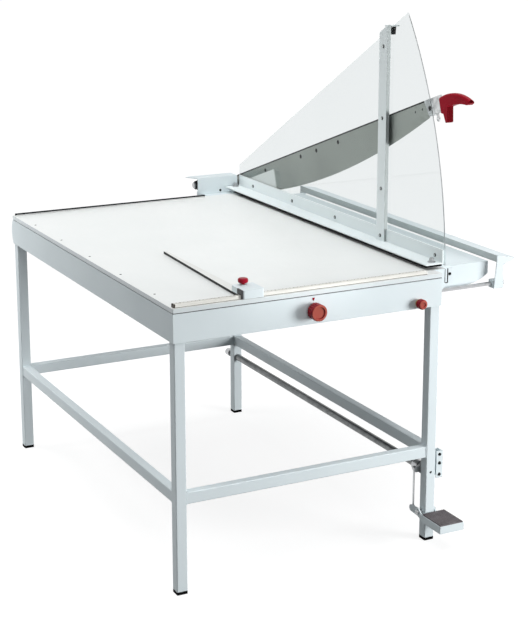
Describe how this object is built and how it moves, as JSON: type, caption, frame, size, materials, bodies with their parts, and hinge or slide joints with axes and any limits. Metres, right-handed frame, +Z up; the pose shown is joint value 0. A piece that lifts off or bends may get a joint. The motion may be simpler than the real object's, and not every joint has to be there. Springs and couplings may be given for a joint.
{
  "type": "guillotine paper trimmer",
  "caption": "floor-standing guillotine paper trimmer with a curved blade on a rear pivot, pedal clamp bar, clear blade shield, back gauge and off-cut strip gauge on a tube stand",
  "frame": {"origin": "on the floor, under the centre of the box round the whole trimmer", "axes": "+X to the operator's right, across the table to the blade and the off-cut tray; +Y from the operator to the blade pivot at the back; +Z up"},
  "size_m": [1.009, 1.361, 1.3526],
  "materials": {
    "light_paint": "satin paint",
    "table_white": "satin paint",
    "blade_steel": "ground",
    "zinc_steel": "zinc plated",
    "black_rubber": "matt",
    "tread_rubber": "ribbed, matt",
    "black_plastic": "matt",
    "lay_cream": "matt",
    "red_plastic": "semi-gloss",
    "bush_bronze": "turned",
    "clear_sheet": "clear"
  },
  "bodies": {
    "stand": {"front_left_leg": "light_paint", "front_right_leg": "light_paint", "rear_left_leg": "light_paint", "rear_right_leg": "light_paint", "front_stretcher": "light_paint", "rear_stretcher": "light_paint", "left_stretcher": "light_paint", "right_stretcher": "light_paint", "front_apron": "light_paint", "left_apron": "light_paint", "rear_apron": "light_paint", "knife_beam": "light_paint", "latch_plate": "light_paint", "offcut_tray": "light_paint", "tray_arms": "light_paint", "pivot_bearing": "light_paint", "pivot_cover": "light_paint", "lever_guard": "light_paint", "table_top": "table_white", "bed_knife": "blade_steel", "knife_screws": "zinc_steel", "panel_screws": "zinc_steel", "pedal_pin": "zinc_steel", "return_springs": "zinc_steel", "feet": "black_rubber", "back_lay": "black_plastic", "rack_housings": "black_plastic", "front_lay": "lay_cream", "index_pointer": "red_plastic", "bushes": "bush_bronze"},
    "blade_arm": {"blade": "blade_steel", "handle_bracket": "zinc_steel", "handle_grip": "red_plastic", "bracket_screws": "zinc_steel", "pivot_shaft": "zinc_steel", "pivot_nuts": "zinc_steel"},
    "catch": {"blade_latch": "zinc_steel"},
    "clamp": {"clamp_bar": "light_paint", "clamp_rubber": "black_rubber", "shield": "clear_sheet", "shield_post": "light_paint", "post_bumper": "black_rubber", "shield_screws": "zinc_steel", "pull_rods": "zinc_steel", "clamp_nuts": "zinc_steel"},
    "torsion": {"torsion_shaft": "zinc_steel", "shaft_levers": "zinc_steel"},
    "link": {"pedal_link": "zinc_steel"},
    "pedal": {"pedal": "light_paint", "pedal_pad": "tread_rubber"},
    "back_gauge": {"gauge_slider": "light_paint", "gauge_bar": "light_paint"},
    "gauge_knob": {"gauge_knob": "red_plastic"},
    "strip_gauge": {"strip_rail": "light_paint", "rail_brackets": "light_paint", "guide_rods": "zinc_steel"},
    "setting": {"knob_shaft": "zinc_steel", "pinions": "bush_bronze", "setting_knob": "red_plastic"},
    "lock": {"lock_knob": "red_plastic"}
  },
  "joints": [
    {"name": "blade_swing", "type": "hinge", "parent": "stand", "child": "blade_arm", "pos_m": [0.2745, 0.6445, 0.742], "axis": [1, 0, 0], "range_deg": [-10.4, 18.9]},
    {"name": "catch_swing", "type": "hinge", "parent": "blade_arm", "child": "catch", "pos_m": [0.2745, -0.49171, 1.11578], "axis": [1, 0, 0], "range_deg": [-15, 20]},
    {"name": "clamp_slide", "type": "slide", "parent": "stand", "child": "clamp", "axis": [0, 0, 1], "range_m": [-0.0067, 0], "stiffness_N_per_m": 3000, "springref_m": 0.06, "deforming": ["return_springs"]},
    {"name": "torsion_turn", "type": "hinge", "parent": "stand", "child": "torsion", "pos_m": [0.2205, 0, 0.188], "axis": [0, 1, 0], "range_deg": [0, 16.2]},
    {"name": "link_swing", "type": "hinge", "parent": "torsion", "child": "link", "pos_m": [0.1989, -0.5415, 0.188], "axis": [0, 1, 0], "range_deg": [-16.2, 0]},
    {"name": "pedal_press", "type": "hinge", "parent": "stand", "child": "pedal", "pos_m": [0.2165, -0.5735, 0.078], "axis": [1, 0, 0], "range_deg": [0, 11.2]},
    {"name": "back_gauge_slide", "type": "slide", "parent": "stand", "child": "back_gauge", "axis": [1, 0, 0], "range_m": [-0.17, 0.455]},
    {"name": "gauge_knob_turn", "type": "hinge", "parent": "back_gauge", "child": "gauge_knob", "pos_m": [-0.2975, -0.5385, 0.748], "axis": [0, 0, 1], "range_deg": [0, 180]},
    {"name": "strip_gauge_slide", "type": "slide", "parent": "stand", "child": "strip_gauge", "axis": [1, 0, 0], "range_m": [-0.148, 0.02]},
    {"name": "setting_knob_turn", "type": "hinge", "parent": "stand", "child": "setting", "pos_m": [-0.1335, -0.6075, 0.671], "axis": [0, 1, 0], "range_deg": [-78, 568]},
    {"name": "lock_knob_turn", "type": "hinge", "parent": "stand", "child": "lock", "pos_m": [0.1685, -0.6025, 0.651], "axis": [0, 1, 0], "range_deg": [0, 120]}
  ],
  "couplings": [
    {"joint": "torsion_turn", "follows": "clamp_slide", "rad_per_m": -41.667},
    {"joint": "link_swing", "follows": "clamp_slide", "rad_per_m": 41.667},
    {"joint": "pedal_press", "follows": "clamp_slide", "rad_per_m": -28.125},
    {"joint": "setting_knob_turn", "follows": "strip_gauge_slide", "rad_per_m": -66.667}
  ]
}
